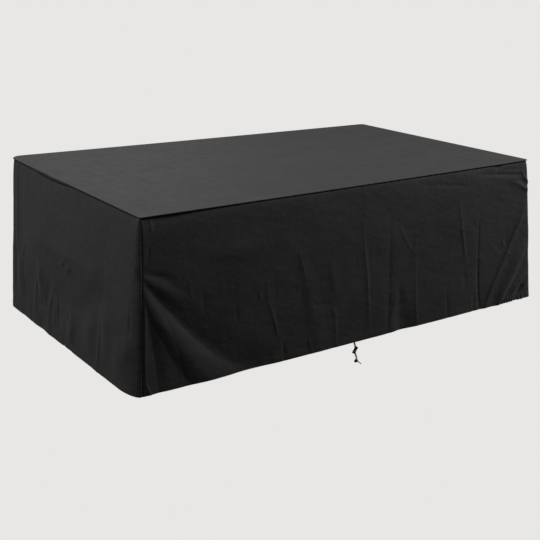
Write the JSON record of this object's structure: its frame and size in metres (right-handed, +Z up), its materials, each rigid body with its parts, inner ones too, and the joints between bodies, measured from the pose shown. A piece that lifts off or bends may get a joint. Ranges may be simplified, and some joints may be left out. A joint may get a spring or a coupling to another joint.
{
  "type": "patio furniture cover",
  "caption": "Fitted box-shaped cover for a rectangular patio dining set: taut top, skirt panels with an open hem, and a drawstring end with a cord lock.",
  "frame": {"origin": "middle of the top panel's underside, where the furniture below holds the cover up", "axes": "+X runs along the long sides, +Y from the front skirt with the drawstring to the back, +Z up"},
  "size_m": [2.2501, 1.3682, 0.8411],
  "materials": {
    "cloth": "black coated polyester with a fine plain weave and a faint sheen",
    "cord": "black braided polyester cord",
    "lock": "black moulded plastic with a fine texture"
  },
  "bodies": {
    "root": {"top_panel": "cloth", "skirt_front": "cloth", "skirt_right": "cloth", "skirt_back": "cloth", "skirt_left": "cloth", "drawstring_strand_left": "cord", "drawstring_strand_right": "cord", "drawstring_knot": "cord", "cord_lock_barrel": "lock", "cord_lock_button": "lock"}
  },
  "joints": []
}
